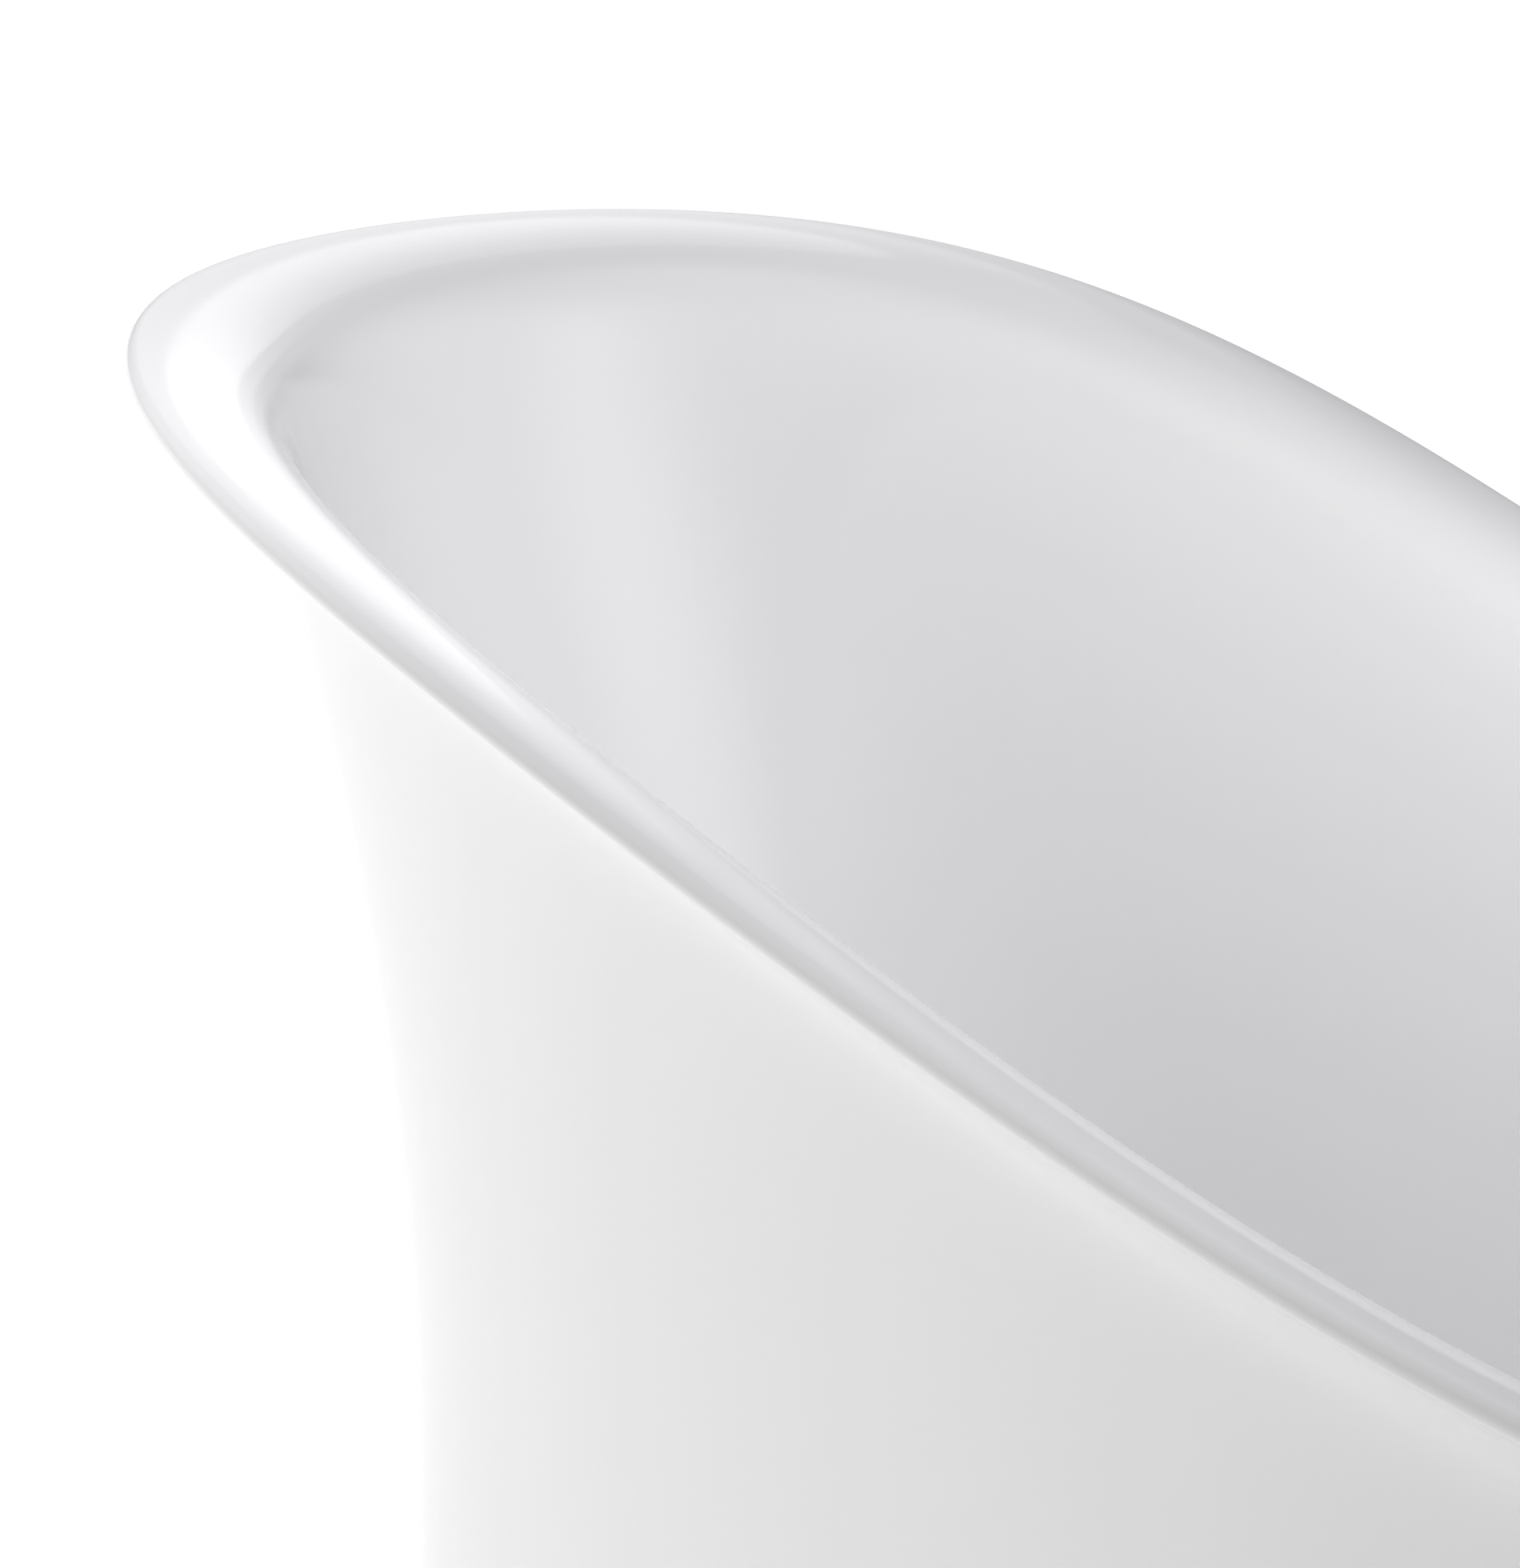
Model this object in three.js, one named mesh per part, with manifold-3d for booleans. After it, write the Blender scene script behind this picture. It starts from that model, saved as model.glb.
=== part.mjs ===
// Freestanding slipper bathtub: a glossy acrylic basin with a flared, rolled rim, bonded to a waisted
// outer skirt, standing on a steel frame with five levelling feet, with a cable-worked pop-up waste.
// Millimetres, +Z up. The origin is on the floor under the middle of the rim outline. The raised
// backrest end is at -X, the low foot end with the waste and overflow at +X.

import * as THREE from 'three';
import { mergeVertices } from 'three/addons/utils/BufferGeometryUtils.js';
import Module from 'manifold-3d';

const wasm = await Module();
wasm.setup();

// ---- Driving dimensions -------------------------------------------------------------------------

const GAP = 0.3; // clearance between touching pieces
const CLEARANCE = 0.4; // between a bore and what runs in it

// Rim outline and height
const HALF_LENGTH = 882;
const HALF_WIDTH = 337; // at mid-length, the egg terms below widen the backrest end
const EGG_SHIFT = 0.194;
const EGG_FULLNESS = 0.327;
const RIM_HIGH = 792; // crown of the rim at the backrest end
const RIM_LOW = 575; // crown of the rim at the foot end
const RIM_SWEEP = 2.1 * HALF_LENGTH; // length over which the rim comes down
const RIM_START_SLOPE = 0.08;
const LIP_RADIUS = 7;

// Outer skirt
const SKIRT_FLARE = { end: 76, side: 33 }; // quick turn inward just under the rim
const SKIRT_FLARE_DEPTH = 24.5;
const SKIRT_SWEEP = { end: 139, side: 61 }; // slow sweep inward down to the waist
const WAIST_HEIGHT = 132;
const SKIRT_FOOT = 3; // the skirt stops just clear of the floor
const SKIRT_THICKNESS = 4;

// Basin
const FLOOR_TOP = 150;
const SHELL_THICKNESS = 5;
const BASIN_FLARE = { back: 105, foot: 145, side: 60 };
const BASIN_FLARE_DEPTH = { end: 31, side: 48 };
const BASIN_RUN = { back: 366, foot: 215, side: 90 }; // inward run of the wall from rim to floor
const WALL_POWER = 1.6;

// Support under the floor
const BOARD = { length: 800, width: 300, thickness: 16, centreX: 55, corner: 110 };
const BOARD_WASTE_HOLE = 40;
const RAIL = { size: 25, wall: 2, length: 780, y: 115, centreX: 55 };
const CROSS = { width: 30, height: 20, wall: 2, length: 330 };
const CROSS_X = { head: -290, middle: 60, tail: 420 };
const SCREW_X = [-320, 20, 396];
const SCREW = { shank: 2.4, head: 5.5, headHeight: 3, bite: 11 };

// Levelling feet
const FOOT_Y = 140;
const STUD = { radius: 6, bottom: 10.3, top: 112 };
const NUT = { acrossFlats: 19, height: 8 };
const PAD = { radius: 24, height: 14 };

// Waste and overflow
const WASTE_X = 330;
const DRAIN_HOLE = 26;
const OVERFLOW_HOLE = 20;
const OVERFLOW_DEPTH = 88; // below the rim crown at the foot end
const HOSE_RADIUS = 11;
const HOSE_BORE = 8.5;
const HOSE_PORT_HEIGHT = 66;
const PLAN_STEPS = 48;
const ROUND_STEPS = 20;

// ---- Materials ----------------------------------------------------------------------------------

const acrylic = () => new THREE.MeshStandardMaterial({ color: 0xf4f4f6, roughness: 0.12, metalness: 0 });
const bond = () => new THREE.MeshStandardMaterial({ color: 0xd9d9d6, roughness: 0.6, metalness: 0 });
const plywood = () => new THREE.MeshStandardMaterial({ color: 0xc9a878, roughness: 0.7, metalness: 0 });
const zincSteel = () => new THREE.MeshStandardMaterial({ color: 0x9a9ca0, roughness: 0.45, metalness: 1 });
const chrome = () => new THREE.MeshStandardMaterial({ color: 0xe4e6e8, roughness: 0.08, metalness: 1 });
const rubber = () => new THREE.MeshStandardMaterial({ color: 0x26272a, roughness: 0.8, metalness: 0 });
const pipePlastic = () => new THREE.MeshStandardMaterial({ color: 0xc8cacc, roughness: 0.4, metalness: 0 });

// ---- General helpers ----------------------------------------------------------------------------

const bathtub = new THREE.Group();

/** Adds one named piece to a group. */
function addPiece(name, geometry, material, group = bathtub) {
  const mesh = new THREE.Mesh(geometry, material);
  mesh.name = name;
  group.add(mesh);
  return mesh;
}

/** Six times the signed volume of an indexed geometry. */
function signedVolume(geometry) {
  const position = geometry.getAttribute('position');
  const index = geometry.getIndex();
  const a = new THREE.Vector3();
  const b = new THREE.Vector3();
  const c = new THREE.Vector3();
  let total = 0;
  for (let i = 0; i < index.count; i += 3) {
    a.fromBufferAttribute(position, index.getX(i));
    b.fromBufferAttribute(position, index.getX(i + 1));
    c.fromBufferAttribute(position, index.getX(i + 2));
    total += a.dot(b.cross(c));
  }
  return total;
}

/** Merges shared vertices and turns the faces outward. */
function closedBody(geometry) {
  geometry.deleteAttribute('normal');
  geometry.deleteAttribute('uv');
  const merged = mergeVertices(geometry, 1e-3);
  const kept = [];
  const index = merged.getIndex();
  for (let i = 0; i < index.count; i += 3) {
    const corners = [index.getX(i), index.getX(i + 1), index.getX(i + 2)];
    if (new Set(corners).size === 3) kept.push(...corners);
  }
  merged.setIndex(kept);
  if (signedVolume(merged) < 0) merged.setIndex(kept.reverse());
  merged.computeVertexNormals();
  return merged;
}

/** A body lofted through rings of points; the list of rings closes on itself unless it has caps. */
function loft(rings, caps = null) {
  const count = rings[0].length;
  const points = rings.flat();
  const triangles = [];
  const strips = caps ? rings.length - 1 : rings.length;
  for (let r = 0; r < strips; r += 1) {
    const low = r * count;
    const high = ((r + 1) % rings.length) * count;
    for (let i = 0; i < count; i += 1) {
      const j = (i + 1) % count;
      triangles.push(low + i, low + j, high + j, low + i, high + j, high + i);
    }
  }
  if (caps) {
    const last = (rings.length - 1) * count;
    const start = points.push(caps[0]) - 1;
    const finish = points.push(caps[1]) - 1;
    for (let i = 0; i < count; i += 1) {
      const j = (i + 1) % count;
      triangles.push(start, j, i, finish, last + i, last + j);
    }
  }
  const geometry = new THREE.BufferGeometry().setFromPoints(points);
  geometry.setIndex(triangles);
  return closedBody(geometry);
}

/** A body turned about +Z from [radius, height] pairs that close on themselves or end on the axis. */
function turned(profile, steps = ROUND_STEPS) {
  const points = profile.map(([radius, height]) => new THREE.Vector2(radius, height));
  if (profile[0][0] > 0) points.push(points[0].clone());
  const geometry = new THREE.LatheGeometry(points, steps);
  geometry.rotateX(Math.PI / 2);
  return closedBody(geometry);
}

/** A plain ring about +Z. */
function ring(inner, outer, low, high, steps = ROUND_STEPS) {
  return turned([[inner, low], [outer, low], [outer, high], [inner, high]], steps);
}

/** A solid rod about +Z. */
function rod(radius, low, high, steps = ROUND_STEPS) {
  return turned([[0, low], [radius, low], [radius, high], [0, high]], steps);
}

/** A round tube along a smooth path; a bore makes it hollow and open at both ends. */
function tubeAlong(points, radius, bore, pathSteps, sides = 12) {
  const section = new THREE.Shape().absarc(0, 0, radius, 0, 2 * Math.PI);
  if (bore > 0) section.holes.push(new THREE.Path().absarc(0, 0, bore, 0, 2 * Math.PI, true));
  const path = new THREE.CatmullRomCurve3(points);
  const settings = { extrudePath: path, steps: pathSteps, curveSegments: sides };
  return closedBody(new THREE.ExtrudeGeometry(section, settings));
}

/** A rectangular steel tube along +X, centred on the origin and open at both ends. */
function boxTube(length, width, height, wall) {
  const outline = rectangle(width, height);
  outline.holes.push(rectangle(width - 2 * wall, height - 2 * wall));
  const geometry = new THREE.ExtrudeGeometry(outline, { depth: length, bevelEnabled: false });
  geometry.translate(0, 0, -length / 2);
  geometry.rotateY(Math.PI / 2);
  geometry.rotateX(Math.PI / 2);
  return closedBody(geometry);
}

function rectangle(width, height) {
  const shape = new THREE.Shape();
  shape.moveTo(-width / 2, -height / 2);
  shape.lineTo(width / 2, -height / 2);
  shape.lineTo(width / 2, height / 2);
  shape.lineTo(-width / 2, height / 2);
  shape.closePath();
  return shape;
}

/** A manifold solid from a closed geometry. */
function toSolid(geometry) {
  const body = geometry.clone();
  body.deleteAttribute('normal');
  return new wasm.Manifold(new wasm.Mesh({
    numProp: 3,
    vertProperties: new Float32Array(body.getAttribute('position').array),
    triVerts: new Uint32Array(body.getIndex().array),
  }));
}

/** A geometry from a manifold solid. */
function fromSolid(solid) {
  const mesh = solid.getMesh();
  const geometry = new THREE.BufferGeometry();
  geometry.setAttribute('position', new THREE.BufferAttribute(mesh.vertProperties, mesh.numProp));
  geometry.setIndex(new THREE.BufferAttribute(mesh.triVerts, 1));
  geometry.computeVertexNormals();
  return geometry;
}

/** The geometry with each cutter taken out of it. */
function cut(geometry, cutters) {
  let solid = toSolid(geometry);
  for (const cutter of cutters) solid = solid.subtract(toSolid(cutter));
  return fromSolid(solid);
}

/** The geometries joined into one body. */
function join(geometries) {
  let solid = toSolid(geometries[0]);
  for (const other of geometries.slice(1)) solid = solid.add(toSolid(other));
  return fromSolid(solid);
}

// ---- Tub surfaces -------------------------------------------------------------------------------

const blend = (from, to, share) => from + (to - from) * share;

/** A point of the egg-shaped outline, pulled in by an end inset and a side inset. */
function outlinePoint(angle, endInset, sideInset, height) {
  const along = Math.cos(angle);
  const egg = 1 - EGG_SHIFT * along + EGG_FULLNESS * along ** 2;
  const x = (HALF_LENGTH - endInset) * along;
  const y = (HALF_WIDTH - sideInset) * Math.sin(angle) * egg;
  return new THREE.Vector3(x, y, height);
}

/** Height of the rim's crown, level at the backrest and falling in one long S to the foot end. */
function rimHeight(angle) {
  const s = (HALF_LENGTH * (1 + Math.cos(angle))) / RIM_SWEEP;
  const fall = 2 * s ** 3 - 3 * s ** 2 + 1;
  const lead = s ** 3 - 2 * s ** 2 + s;
  return RIM_LOW + (RIM_HIGH - RIM_LOW) * (fall - RIM_START_SLOPE * lead);
}

/** A ring of points all round the tub. */
function ringOf(pointAt) {
  return Array.from({ length: PLAN_STEPS }, (_, i) => pointAt((2 * Math.PI * i) / PLAN_STEPS));
}

/** Insets and height of the skirt's face at a share of the way down, moved inward by a thickness. */
function skirtPoint(angle, share, thickness) {
  const top = rimHeight(angle) - 2 * LIP_RADIUS - GAP;
  const depth = (top - SKIRT_FOOT) * share;
  const reach = top - WAIST_HEIGHT;
  const flare = 1 - Math.exp(-depth / SKIRT_FLARE_DEPTH);
  const sweep = 1 - (1 - depth / reach) ** 2;
  const flareSlope = Math.exp(-depth / SKIRT_FLARE_DEPTH) / SKIRT_FLARE_DEPTH;
  const sweepSlope = (2 * (1 - depth / reach)) / reach;
  const endSlope = SKIRT_FLARE.end * flareSlope + SKIRT_SWEEP.end * sweepSlope;
  const sideSlope = SKIRT_FLARE.side * flareSlope + SKIRT_SWEEP.side * sweepSlope;
  const slope = blend(sideSlope, endSlope, Math.cos(angle) ** 2);
  const lift = (thickness * slope) / Math.hypot(1, slope);
  const endInset = LIP_RADIUS + SKIRT_FLARE.end * flare + SKIRT_SWEEP.end * sweep;
  const sideInset = LIP_RADIUS + SKIRT_FLARE.side * flare + SKIRT_SWEEP.side * sweep;
  return outlinePoint(
    angle,
    endInset + thickness / Math.hypot(1, endSlope),
    sideInset + thickness / Math.hypot(1, sideSlope),
    Math.max(SKIRT_FOOT, Math.min(top - depth + lift, top)),
  );
}

function outerSkirt() {
  const rows = 11;
  const rings = [];
  for (let i = 0; i <= rows; i += 1) rings.push(ringOf((a) => skirtPoint(a, (i / rows) ** 2.2, 0)));
  for (let i = rows; i >= 0; i -= 1) {
    const share = Math.max((i / rows) ** 2.2, 0.004);
    rings.push(ringOf((a) => skirtPoint(a, share, SKIRT_THICKNESS)));
  }
  return loft(rings);
}

/** Insets and depth of the basin's face at a share of the way from crown to floor. */
function basinProfile(angle, share) {
  const back = (1 - Math.cos(angle)) / 2;
  const drop = rimHeight(angle) - FLOOR_TOP;
  const depth = drop * (1 - (1 - share) ** WALL_POWER);
  const flareDepth = blend(BASIN_FLARE_DEPTH.side, BASIN_FLARE_DEPTH.end, Math.cos(angle) ** 2);
  const flare = Math.sqrt(1 - Math.exp((-2 * depth) / flareDepth));
  const endFlare = blend(BASIN_FLARE.foot, BASIN_FLARE.back, back);
  const endRun = blend(BASIN_RUN.foot, BASIN_RUN.back, back);
  return {
    depth,
    end: LIP_RADIUS + endFlare * flare + endRun * share,
    side: LIP_RADIUS + BASIN_FLARE.side * flare + BASIN_RUN.side * share,
  };
}

/** A point of the basin's face, or of its back when a thickness is given. */
function basinPoint(angle, share, thickness) {
  const here = basinProfile(angle, share);
  const step = 1e-4;
  const above = basinProfile(angle, Math.max(share - step, 0));
  const below = basinProfile(angle, Math.min(share + step, 1));
  const fall = below.depth - above.depth;
  const endRun = below.end - above.end;
  const sideRun = below.side - above.side;
  const run = blend(sideRun, endRun, Math.cos(angle) ** 2);
  return outlinePoint(
    angle,
    here.end - (thickness * fall) / Math.hypot(fall, endRun),
    here.side - (thickness * fall) / Math.hypot(fall, sideRun),
    rimHeight(angle) - here.depth - (thickness * run) / Math.hypot(fall, run),
  );
}

/** A point of the rolled lip; 90 degrees is its crown, 0 its nose, -90 its underside. */
function lipPoint(angle, degrees) {
  const turn = THREE.MathUtils.degToRad(degrees);
  const inset = LIP_RADIUS * (1 - Math.cos(turn));
  return outlinePoint(angle, inset, inset, rimHeight(angle) + LIP_RADIUS * (Math.sin(turn) - 1));
}

/** A ring on the flat floor, a share of the way out from its middle. */
function floorRing(share, height) {
  const middle = floorMiddle(height);
  return ringOf((a) => middle.clone().lerp(basinPoint(a, 1, 0), share).setZ(height));
}

function floorMiddle(height) {
  const x = (basinPoint(0, 1, 0).x + basinPoint(Math.PI, 1, 0).x) / 2;
  return new THREE.Vector3(x, 0, height);
}

function basinShell() {
  const rows = 13;
  const shareOf = (i) => (i / rows) ** 2.6;
  const rings = [floorRing(0.5, FLOOR_TOP)];
  for (let i = rows; i >= 1; i -= 1) rings.push(ringOf((a) => basinPoint(a, shareOf(i), 0)));
  for (const degrees of [90, 45, 0, -45, -90]) rings.push(ringOf((a) => lipPoint(a, degrees)));
  rings.push(ringOf((a) => outlinePoint(a, 13, 13, rimHeight(a) - 2 * LIP_RADIUS + 2)));
  rings.push(ringOf((a) => outlinePoint(a, 14, 14, rimHeight(a) - LIP_RADIUS)));
  for (let i = 1; i <= rows; i += 1) {
    rings.push(ringOf((a) => basinPoint(a, shareOf(i), SHELL_THICKNESS)));
  }
  const underside = FLOOR_TOP - SHELL_THICKNESS;
  rings.push(floorRing(0.5, underside));
  return loft(rings, [floorMiddle(FLOOR_TOP), floorMiddle(underside)]);
}

/** The bead of adhesive that joins the skirt to the basin just inside the lip. */
function rimBond() {
  const corners = [[14.6, 13.9], [19, 13.9], [19, 8.4], [14.6, 8.4]];
  return loft(corners.map(([inset, depth]) => (
    ringOf((a) => outlinePoint(a, inset, inset, rimHeight(a) - depth)))));
}

// ---- Overflow position --------------------------------------------------------------------------

/** Where the overflow's axis crosses the basin wall at the foot end, and how far the wall leans. */
function overflowSeat() {
  const shareAt = (depth) => 1 - (1 - depth / (rimHeight(0) - FLOOR_TOP)) ** (1 / WALL_POWER);
  const seat = basinPoint(0, shareAt(OVERFLOW_DEPTH), 0);
  const below = basinPoint(0, shareAt(OVERFLOW_DEPTH + 1), 0);
  return { seat, lean: Math.atan2(seat.x - below.x, seat.z - below.z) };
}

const overflow = overflowSeat();
const overflowTurn = new THREE.Matrix4()
  .makeRotationY(overflow.lean - Math.PI / 2)
  .setPosition(overflow.seat);

/** Moves a geometry made about the overflow's own axis to its place in the tub. */
const atOverflow = (geometry) => geometry.applyMatrix4(overflowTurn);

/** The basin shell, shifted a little along the overflow's axis, as a cutter for its gaskets. */
function shiftedShell(shell, shift) {
  const axis = new THREE.Vector3(0, 0, 1).transformDirection(overflowTurn).multiplyScalar(shift);
  return shell.clone().translate(axis.x, axis.y, axis.z);
}

// ---- Tub ----------------------------------------------------------------------------------------

function addTub() {
  const drainCutter = rod(DRAIN_HOLE, FLOOR_TOP - 30, FLOOR_TOP + 30).translate(WASTE_X, 0, 0);
  const overflowCutter = atOverflow(rod(OVERFLOW_HOLE, -20, 20));
  const shell = basinShell();
  addPiece('basin_shell', cut(shell, [drainCutter, overflowCutter]), acrylic());
  addPiece('outer_skirt', outerSkirt(), acrylic());
  addPiece('rim_bond', rimBond(), bond());
  return shell;
}

// ---- Base board and frame -----------------------------------------------------------------------

const boardTop = FLOOR_TOP - SHELL_THICKNESS - GAP;
const railTop = boardTop - BOARD.thickness - GAP;
const crossTop = railTop - RAIL.size - GAP;
const crossBottom = crossTop - CROSS.height;

function baseBoard() {
  const { length, width, thickness, corner } = BOARD;
  const right = length / 2 - corner;
  const far = width / 2 - corner;
  const outline = new THREE.Shape();
  outline.absarc(right, far, corner, 0, Math.PI / 2);
  outline.absarc(-right, far, corner, Math.PI / 2, Math.PI);
  outline.absarc(-right, -far, corner, Math.PI, 1.5 * Math.PI);
  outline.absarc(right, -far, corner, 1.5 * Math.PI, 2 * Math.PI);
  const settings = { depth: thickness, bevelEnabled: false, curveSegments: 6 };
  const board = closedBody(new THREE.ExtrudeGeometry(outline, settings));
  board.translate(BOARD.centreX, 0, boardTop - thickness);
  const low = boardTop - thickness - 1;
  const holes = [rod(BOARD_WASTE_HOLE, low, boardTop + 1).translate(WASTE_X, 0, 0)];
  for (const y of [RAIL.y, -RAIL.y]) {
    for (const x of SCREW_X) {
      const hole = rod(SCREW.shank + GAP, low, boardTop - BOARD.thickness + SCREW.bite + 1, 12);
      holes.push(hole.translate(x, y, 0));
    }
  }
  return cut(board, holes);
}

function frameRail(y) {
  const rail = boxTube(RAIL.length, RAIL.size, RAIL.size, RAIL.wall);
  rail.translate(RAIL.centreX, y, railTop - RAIL.size / 2);
  const low = railTop - RAIL.size - 1;
  const holes = SCREW_X.map((x) => rod(SCREW.shank + GAP, low, railTop + 1, 12).translate(x, y, 0));
  return cut(rail, holes);
}

function frameScrew(x, y) {
  const seat = railTop - RAIL.size - GAP;
  const tip = boardTop - BOARD.thickness + SCREW.bite;
  const screw = turned([
    [0, seat - SCREW.headHeight],
    [SCREW.head * 0.7, seat - SCREW.headHeight],
    [SCREW.head, seat - 1],
    [SCREW.head, seat],
    [SCREW.shank, seat],
    [SCREW.shank, tip - 4],
    [0, tip],
  ], 12);
  return screw.translate(x, y, 0);
}

function crossMember(x, footPlaces) {
  const cross = boxTube(CROSS.length, CROSS.width, CROSS.height, CROSS.wall);
  cross.rotateZ(Math.PI / 2);
  cross.translate(x, 0, crossTop - CROSS.height / 2);
  const holes = footPlaces.map((y) => (
    rod(STUD.radius + CLEARANCE, crossBottom - 1, crossTop + 1, 16).translate(x, y, 0)));
  return cut(cross, holes);
}

const footPlaces = [
  [CROSS_X.head, FOOT_Y],
  [CROSS_X.head, -FOOT_Y],
  [CROSS_X.middle, 0],
  [CROSS_X.tail, FOOT_Y],
  [CROSS_X.tail, -FOOT_Y],
];

function addFrame() {
  addPiece('base_board', baseBoard(), plywood());
  addPiece('frame_rail_left', frameRail(RAIL.y), zincSteel());
  addPiece('frame_rail_right', frameRail(-RAIL.y), zincSteel());
  for (const [place, x] of Object.entries(CROSS_X)) {
    const holes = footPlaces.filter(([footX]) => footX === x).map(([, y]) => y);
    addPiece(`frame_cross_${place}`, crossMember(x, holes), zincSteel());
  }
  let number = 1;
  for (const y of [RAIL.y, -RAIL.y]) {
    for (const x of SCREW_X) {
      addPiece(`board_screw_${number}`, frameScrew(x, y), zincSteel());
      number += 1;
    }
  }
}

// ---- Levelling feet -----------------------------------------------------------------------------

/** Stud with a round foot flange; the thread is left plain. */
function footStud() {
  const { radius, bottom, top } = STUD;
  return turned([
    [0, bottom],
    [radius + 2, bottom],
    [radius + 2, bottom + 2],
    [radius, bottom + 2.5],
    [radius, top - 1.5],
    [radius - 1.5, top],
    [0, top],
  ], 16);
}

function lockNut() {
  const across = NUT.acrossFlats / Math.sqrt(3);
  const top = crossBottom - GAP;
  const hexagon = rod(across, top - NUT.height, top, 6);
  return cut(hexagon, [rod(STUD.radius + CLEARANCE, top - NUT.height - 1, top + 1, 16)]);
}

/** Pad with a flat sole, a domed top and a socket that holds the stud's foot. */
function footPad() {
  const socket = STUD.radius + 2 + GAP;
  const seat = STUD.bottom - GAP;
  return turned([
    [0, 0],
    [PAD.radius, 0],
    [PAD.radius, 3],
    [PAD.radius - 3, 6],
    [socket + 4, PAD.height],
    [socket, PAD.height],
    [socket, seat],
    [0, seat],
  ], ROUND_STEPS);
}

function addFeet() {
  footPlaces.forEach(([x, y], i) => {
    addPiece(`foot_stud_${i + 1}`, footStud(), zincSteel()).position.set(x, y, 0);
    addPiece(`foot_nut_${i + 1}`, lockNut(), zincSteel()).position.set(x, y, 0);
    addPiece(`foot_pad_${i + 1}`, footPad(), rubber()).position.set(x, y, 0);
  });
}

// ---- Waste --------------------------------------------------------------------------------------

const floorUnder = FLOOR_TOP - SHELL_THICKNESS;
const wasteBodyTop = floorUnder - 3 - 2 * GAP;
const WASTE_BOTTOM = 44;
const WASTE_RADIUS = 29;
const NECK = { inner: 22.5, outer: 25, bottom: 125 };
const OUTLET = { radius: 19, bore: 15, end: 12 };

function drainFlange() {
  const seat = FLOOR_TOP + GAP;
  return turned([
    [NECK.inner, NECK.bottom],
    [NECK.outer, NECK.bottom],
    [NECK.outer, seat],
    [35, seat],
    [35, seat + 1],
    [32, seat + 3],
    [NECK.inner + 1, seat + 3],
    [NECK.inner, seat + 2],
  ], 24);
}

function wasteBody() {
  const bore = NECK.outer + CLEARANCE;
  const cup = turned([
    [OUTLET.bore, WASTE_BOTTOM],
    [WASTE_RADIUS, WASTE_BOTTOM],
    [WASTE_RADIUS, wasteBodyTop - 4],
    [36, wasteBodyTop - 4],
    [36, wasteBodyTop],
    [bore, wasteBodyTop],
    [bore, WASTE_BOTTOM + 4],
    [OUTLET.bore, WASTE_BOTTOM + 4],
  ]);
  const spigot = ring(HOSE_BORE, HOSE_RADIUS, WASTE_RADIUS - 2, WASTE_RADIUS + 14);
  spigot.rotateY(Math.PI / 2).translate(0, 0, HOSE_PORT_HEIGHT);
  const port = rod(HOSE_BORE, 10, WASTE_RADIUS + 1);
  port.rotateY(Math.PI / 2).translate(0, 0, HOSE_PORT_HEIGHT);
  return cut(join([cup, spigot]), [port]);
}

function drainPlug() {
  const cap = FLOOR_TOP + GAP + 3 + GAP;
  return turned([
    [0, cap - 5],
    [17.5, cap - 5],
    [17.5, cap],
    [30, cap],
    [31, cap + 1],
    [29, cap + 3],
    [18, cap + 4.6],
    [0, cap + 5],
  ], 24);
}

function addWaste() {
  const group = new THREE.Group();
  group.position.set(WASTE_X, 0, 0);
  bathtub.add(group);
  const plugSeat = FLOOR_TOP + 2 * GAP + 3;
  addPiece('drain_flange', drainFlange(), chrome(), group);
  addPiece('drain_gasket', ring(26, 35, floorUnder - GAP - 3, floorUnder - GAP), rubber(), group);
  addPiece('waste_body', wasteBody(), pipePlastic(), group);
  const nutTop = WASTE_BOTTOM - GAP;
  addPiece('outlet_nut', outletNut(nutTop), pipePlastic(), group);
  addPiece('outlet_tail', ring(OUTLET.bore, OUTLET.radius, OUTLET.end, nutTop), pipePlastic(), group);
  addPiece('drain_plug', drainPlug(), chrome(), group);
  addPiece('plug_seal', ring(17.8, 22, plugSeat - 4, plugSeat - GAP), rubber(), group);
  addPiece('lift_rod', rod(3.5, 84, plugSeat - 5 - GAP, 12), zincSteel(), group);
}

/** Ribbed ring that clamps the outlet to the waste body. */
function outletNut(top) {
  const outer = new THREE.Shape();
  const ribs = 24;
  for (let i = 0; i < ribs; i += 1) {
    const angle = (2 * Math.PI * i) / ribs;
    const radius = i % 2 === 0 ? 27 : 25.5;
    if (i === 0) outer.moveTo(radius, 0);
    else outer.lineTo(radius * Math.cos(angle), radius * Math.sin(angle));
  }
  outer.closePath();
  outer.holes.push(new THREE.Path().absarc(0, 0, OUTLET.radius + GAP, 0, 2 * Math.PI, true));
  const height = 16;
  const geometry = new THREE.ExtrudeGeometry(outer, { depth: height, bevelEnabled: false });
  return closedBody(geometry.translate(0, 0, top - height));
}

// ---- Overflow -----------------------------------------------------------------------------------

const PLATE_BACK = 5.5;
const PLATE_FRONT = 9.5;
const GASKET_BACK = -9.5;
const BODY_BACK = -34;
const SHAFT = 6;
const SPIGOT_DEPTH = -22;
const SPIGOT_END = -38;

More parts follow.
